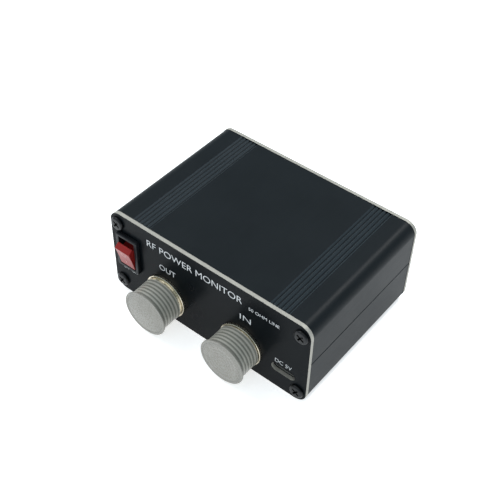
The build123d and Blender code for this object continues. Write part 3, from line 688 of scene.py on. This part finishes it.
print("thread tree has", len(tree.nodes), "nodes")

# %% Socket barrels
THREAD_R = 7.9375 * MM
THREAD_DEPTH = 0.62 * MM
PITCH = 25.4 / 24 * MM
RINGS_PER_TURN = 8
RING_T = 1.2 * MM
MOUTH_R, THROAT_R, NECK_R = 6.1 * MM, 4.6 * MM, 6.35 * MM
SEAT_DEPTH = 8.9 * MM
NOTCH_LENGTH, NOTCH_WIDTH, NOTCH_DEPTH = 18 * MM, 1.5 * MM, 1.2 * MM
body_low, body_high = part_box("ant_socket_body")
RING_R = (body_high.x - body_low.x) / 2
reach = FRONT - body_low.y
neck = body_high.y - FRONT


def socket_section():
    """The barrel's half-section, once round: thread, mouth, seat, throat, neck and ring."""
    steps = round((reach - RING_T) / PITCH * RINGS_PER_TURN)
    thread = [(THREAD_R, RING_T + (reach - 0.25 * MM - RING_T) * i / steps) for i in range(steps + 1)]
    ring = [(RING_R - 0.15 * MM, RING_T), (THREAD_R + 0.1 * MM, RING_T)]
    mouth = [(THREAD_R - 0.35 * MM, reach), (MOUTH_R + 0.15 * MM, reach), (MOUTH_R, reach - 0.2 * MM)]
    seat = [(MOUTH_R, reach - SEAT_DEPTH), (THROAT_R, reach - SEAT_DEPTH), (THROAT_R, -neck)]
    back = [(NECK_R - 0.15 * MM, -neck), (NECK_R, -neck + 0.2 * MM), (NECK_R, 0), (RING_R - 0.1 * MM, 0)]
    rim = [(RING_R, 0.12 * MM), (RING_R, RING_T - 0.15 * MM)]
    return thread + mouth + seat + back + rim + ring


thread_values = {"Major radius": THREAD_R, "Depth": THREAD_DEPTH, "Pitch": PITCH,
                 "Start": RING_T + 0.3 * MM, "End": reach}
threaded = apply_tree(lathe(socket_section()), tree, thread_values, "nickel")
for port in ("ant", "tx"):
    notches = crossed_boxes(NOTCH_LENGTH, NOTCH_WIDTH, 2 * NOTCH_DEPTH, reach)
    mesh = cut_away(temporary(threaded.copy()), notches)
    centre = middle(f"{port}_socket_body")
    mesh.transform(facing(-1, (centre.x, FRONT, centre.z)))
    piece(f"{port}_barrel", mesh, "case", f"{port}_socket_body", ["nickel"], smooth=28)

# %% [markdown]
# Behind the panel each socket is held by a nut over a toothed washer and a solder tag. Those and
# the white insulator and sprung contact inside the mouth are right as CAD made them, and only
# need their edges broken.

# %% Socket fittings
for port in ("ant", "tx"):
    for part, edge in (("socket_insulator", 0.12), ("socket_contact", 0.05), ("socket_nut", 0.2),
                       ("lock_washer", 0.05), ("ground_tag", 0.05)):
        node = f"{port}_{part}"
        name = node.replace("socket_", "")
        piece(name, softened(node, edge * MM), "case", node, [slot_of[node]])

# %% [markdown]
# ## Dust caps
#
# A cap is a dipped sleeve with an overhanging disc. Its half-section has the disc's rounded rim,
# a faint raised ring near the edge and, on one cap, the fine rings that its mould left. The
# sleeve is a real wall with shallow ribs round it, and ends in a small bead.

# %% Cap section
RIM = 0.24 * MM
FILLET = 0.2 * MM
RIB_DEPTH = 0.14 * MM
BEAD_LENGTH, BEAD_RISE = 0.9 * MM, 0.10 * MM
RING_OUTLINE = ((-0.22, 0), (-0.08, 1), (0.08, 1), (0.22, 0))


def cap_section(length, disc_radius, disc_depth, wall_radius, bore_radius, rings):
    """Once round the wall: outer face, rim, sleeve, open end, bore, inside of the disc."""
    face = [(0, 0)]
    for radius, height in rings:
        face += [((radius + step) * MM, -lift * height * MM) for step, lift in RING_OUTLINE]
    face.append((disc_radius - 1.2 * MM, 0))
    face += arc(RIM, (disc_radius - RIM, -RIM), 90, 0)
    face += arc(RIM, (disc_radius - RIM, -disc_depth + RIM), 0, -90)
    sleeve = arc(FILLET, (wall_radius + FILLET, -disc_depth - FILLET), 90, 180)
    for i in range(int((length - disc_depth - BEAD_LENGTH) / RIB_PITCH)):
        top = -disc_depth - i * RIB_PITCH
        valley = (wall_radius - RIB_DEPTH, top - 0.5 * RIB_PITCH)
        sleeve += [valley, (wall_radius, top - 0.9 * RIB_PITCH), (wall_radius, top - 1.1 * RIB_PITCH)]
    sleeve.pop()
    bead = [(wall_radius, -length + BEAD_LENGTH), (wall_radius + BEAD_RISE, -length + 0.6 * MM),
            (wall_radius + BEAD_RISE, -length + 0.12 * MM), (wall_radius - 0.05 * MM, -length)]
    bore = [(bore_radius + 0.05 * MM, -length), (bore_radius, -length + 0.15 * MM),
            (bore_radius, -disc_depth - 0.3 * MM), (bore_radius - 0.3 * MM, -disc_depth), (0, -disc_depth)]
    return face + sleeve + bead + bore


# %% Caps
CAP_WALL_R = 8.53 * MM
CAP_FIT = 0.04 * MM
RING_ROOM = 0.05 * MM
CAP_RINGS = {"ant": [(7.9, 0.05)],
             "tx": [(1.4, 0.04), (2.8, 0.05), (4.2, 0.05), (5.6, 0.05), (7.9, 0.05)]}
for port in ("ant", "tx"):
    node = f"{port}_dust_cap"
    low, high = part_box(node)
    section = cap_section(high.y - low.y - RING_ROOM, (high.x - low.x) / 2, DISC_T - RING_ROOM,
                          CAP_WALL_R, THREAD_R + CAP_FIT, CAP_RINGS[port])
    mesh = lathe(section, 112)
    mesh.transform(facing(-1, (middle(node).x, low.y + RING_ROOM, middle(node).z)))
    piece(f"{port}_cap", mesh, f"{port}_cap", node, [f"{port}_cap_clear"])

# %% [markdown]
# ## Rocker switch
#
# The bezel and rocker are glossy mouldings with generous edges, so they take a wider bevel. The
# usual off and on marks are a ring and a bar. They are built flat and laid on one plane, tilted
# by half of the hinge's whole travel. What lies under the rocker's face doesn't show.

# %% Bezel and rocker
piece("switch_bezel", softened("power_switch_housing", 0.22 * MM, 3), "case", "power_switch_housing",
      ["switch_black"])
piece("rocker", softened("power_rocker", 0.28 * MM, 3), "rocker", "power_rocker", ["rocker_red"])

# %% Flat marks
def face_ring(outer, inner, steps=32):
    """A flat ring round the origin."""
    work = bmesh.new()
    loops = [[work.verts.new((r * math.cos(math.tau * i / steps), r * math.sin(math.tau * i / steps), 0))
              for i in range(steps)] for r in (outer, inner)]
    for i in range(steps):
        j = (i + 1) % steps
        work.faces.new((loops[0][i], loops[0][j], loops[1][j], loops[1][i]))
    return work


def raise_mark(work, height):
    """Gives a flat mark its thickness along Z."""
    top = bmesh.ops.extrude_face_region(work, geom=work.faces[:])["geom"]
    bmesh.ops.translate(work, verts=[v for v in top if isinstance(v, bmesh.types.BMVert)], vec=(0, 0, height))
    bmesh.ops.recalc_face_normals(work, faces=work.faces)
    return mesh_of(work, "mark")


# %% Rocker marks
pivot = Vector(joints["rocker_tilt"]["pos_m"])
tilt = math.radians(joints["rocker_tilt"]["range_deg"][1]) / 2
FACE_OUT = 5.38 * MM
MARK_H = 0.10 * MM
MARK_SHIFT = 2.3 * MM
off_mark = face_ring(1.15 * MM, 0.78 * MM)
bmesh.ops.translate(off_mark, verts=off_mark.verts, vec=(0, MARK_SHIFT, 0))
on_mark = bmesh.new()
bar = Matrix.Translation((0, -MARK_SHIFT, 0)) @ Matrix.Diagonal((0.36 * MM, 2.2 * MM, 1, 1))
bmesh.ops.create_grid(on_mark, x_segments=1, y_segments=1, size=0.5, matrix=bar)
for name, flat in (("rocker_mark_off", off_mark), ("rocker_mark_on", on_mark)):
    mesh = raise_mark(flat, MARK_H)
    upright = Matrix.Rotation(math.radians(90), 4, "X")
    lean = Matrix.Rotation(tilt, 4, "X")
    mesh.transform(Matrix.Translation(pivot) @ lean @ upright @ Matrix.Translation((0, 0, FACE_OUT)))
    piece(name, mesh, "rocker", None, ["rocker_mark"])

# %% [markdown]
# ## Charging inlet
#
# Behind the obround slot sits the inlet's stamped shell with its contact tongue.

# %% Inlet
piece("charging_shell", softened("usb_shell", 0.06 * MM), "case", "usb_shell", ["steel"])
piece("charging_tongue", softened("usb_tongue", 0.06 * MM), "case", "usb_tongue", ["chip_black"])

# %% [markdown]
# ## Printed legends
#
# The legends are plain descriptions in a stock typeface. Print has almost no thickness, but a
# mesh that lies exactly on another flickers, so each one is a thin raised film. Text is turned
# into a mesh first, measured, and then fitted to the height and width that the print has.

# %% Legends
INK_H = 0.03 * MM
THINNER = -0.008


def legend(name, words, left, right, base, height):
    """Words fitted between two x places, standing on a base line, all in mm."""
    curve = bpy.data.curves.new(name, "FONT")
    curve.body = words
    curve.size = 1.0
    curve.extrude = 0.5
    curve.offset = THINNER
    mesh = bake(temporary(curve))
    xs = [v.co.x for v in mesh.vertices]
    ys = [v.co.y for v in mesh.vertices]
    stretch = Matrix.Diagonal(((right - left) * MM / (max(xs) - min(xs)),
                               height * MM / (max(ys) - min(ys)), INK_H, 1))
    home = Matrix.Translation((-min(xs), -min(ys), 0.5))
    mesh.transform(facing(-1, (left * MM, FRONT, base * MM)) @ stretch @ home)
    work = bmesh.new()
    work.from_mesh(mesh)
    bmesh.ops.remove_doubles(work, verts=work.verts, dist=MERGE_WITHIN)
    work.to_mesh(mesh)
    work.free()
    piece(name, mesh, "case", None, ["legend_white"])


legend("legend_title", "RF POWER MONITOR", -26.6, 16.0, 30.9, 2.9)
legend("legend_left_socket", "OUT", -21.2, -13.6, 22.9, 2.5)
legend("legend_right_socket", "IN", 15.2, 19.9, 23.4, 2.5)
legend("legend_range", "50 OHM LINE", 18.8, 31.6, 30.2, 1.4)
legend("legend_charge", "DC 5V", 30.6, 37.6, 12.9, 1.8)
legend("legend_switch", "ON - OFF", -39.6, -32.6, 11.6, 1.4)

# %% [markdown]
# ## Display end
#
# A smoked acrylic window stands in the far panel's opening with dark display glass behind it.

# %% Window
piece("display_window_lens", softened("display_window", 0.25 * MM, 3), "case", "display_window",
      ["window_clear"])

# %% [markdown]
# ## Parts inside
#
# Everything else is inside the case and keeps its CAD shape. Each gets the finish named by its
# material slot, so the model reads properly when it is opened.

# %% Finish the inner parts
finished = 0
for node, shape in nodes.items():
    if not shape.hide_render:
        shape.data.materials.clear()
        shape.data.materials.append(finishes[slot_of[node]])
        finished += 1
print(finished, "CAD nodes keep their own shape")

# %% [markdown]
# ## Stage and light
#
# A pale floor reaches far enough that low views see little else. One large soft light stands on
# the left of the case, a weaker one opens the socket panel, a small one high behind the case
# draws the glints on the caps, and an even cool surround does the rest.

# %% Floor
def floor_paint(desk):
    cloud = desk.noise(0.3)
    return {"Base Color": desk.blend(cloud, grey(0.90), grey(0.92)), "Roughness": 0.8 + cloud * 0.1}


FLOOR_HALF = 30.0
FLOOR_GAP = 0.2 * MM
finish("floor_white", floor_paint, Emission_Color=grey(1.0), Emission_Strength=0.6)
work = bmesh.new()
bmesh.ops.create_grid(work, x_segments=4, y_segments=4, size=FLOOR_HALF)
floor_mesh = mesh_of(work, "floor")
floor_mesh.transform(Matrix.Translation((0, 0, -FLOOR_GAP)))
floor = temporary(floor_mesh, "floor")
floor_mesh.materials.append(finishes["floor_white"])


# %% Lights
LIT_POINT = Vector((0, 0, 20 * MM))


def soft_light(name, azimuth, elevation, distance, size, power):
    """A square area light, placed by direction and turned to face the meter."""
    data = bpy.data.lights.new(name, "AREA")
    data.energy = power
    data.shape = "SQUARE"
    data.size = size
    light = bpy.data.objects.new(name, data)
    bpy.context.scene.collection.objects.link(light)
    a, e = math.radians(azimuth), math.radians(elevation)
    away = Vector((math.sin(a) * math.cos(e), -math.cos(a) * math.cos(e), math.sin(e)))
    light.location = LIT_POINT + away * distance
    light.rotation_euler = away.to_track_quat("Z", "Y").to_euler()


soft_light("key", -90, 47, 1.0, 0.7, 4.5)
soft_light("fill", 10, 60, 1.2, 1.0, 2.5)
soft_light("glint", 169, 55, 1.0, 0.16, 5.0)

world = bpy.data.worlds.new("surround")
world.use_nodes = True
world.node_tree.nodes.clear()
sky = Desk(world.node_tree)
even = sky.add("ShaderNodeBackground", {}, {"Color": grey(1.0, (0.82, 1.0, 1.10)), "Strength": 0.5})
sky.add("ShaderNodeOutputWorld", {}, {"Surface": even})
bpy.context.scene.world = world
bpy.context.scene.view_settings.view_transform = "Standard"

# %% [markdown]
# ## Camera
#
# The camera looks down on the socket panel's right-hand corner. It is placed by azimuth,
# elevation, distance and a small roll, and aimed at a point inside the case.

# %% Camera
AZIMUTH, ELEVATION, ROLL = math.radians(37.621), math.radians(45.423), math.radians(1.590)
DISTANCE = 340.86 * MM
LENS, SENSOR = 66.77, 36
TARGET = Vector((-5.551, 0.0, 17.806)) * MM
back = Vector((math.sin(AZIMUTH) * math.cos(ELEVATION), -math.cos(AZIMUTH) * math.cos(ELEVATION),
               math.sin(ELEVATION)))
right = (-back).cross(Vector((0, 0, 1))).normalized()
over = right.cross(-back)
right, over = (math.cos(ROLL) * right + math.sin(ROLL) * over,
               math.cos(ROLL) * over - math.sin(ROLL) * right)
lens = bpy.data.cameras.new("camera")
lens.lens = LENS
lens.sensor_width = SENSOR
lens.clip_start = 10 * MM
camera = bpy.data.objects.new("camera", lens)
bpy.context.scene.collection.objects.link(camera)
turn = Matrix((right, over, back)).transposed().to_4x4()
camera.matrix_world = Matrix.Translation(TARGET + back * DISTANCE) @ turn
bpy.context.scene.camera = camera

# %% Finish
bpy.context.view_layer.update()
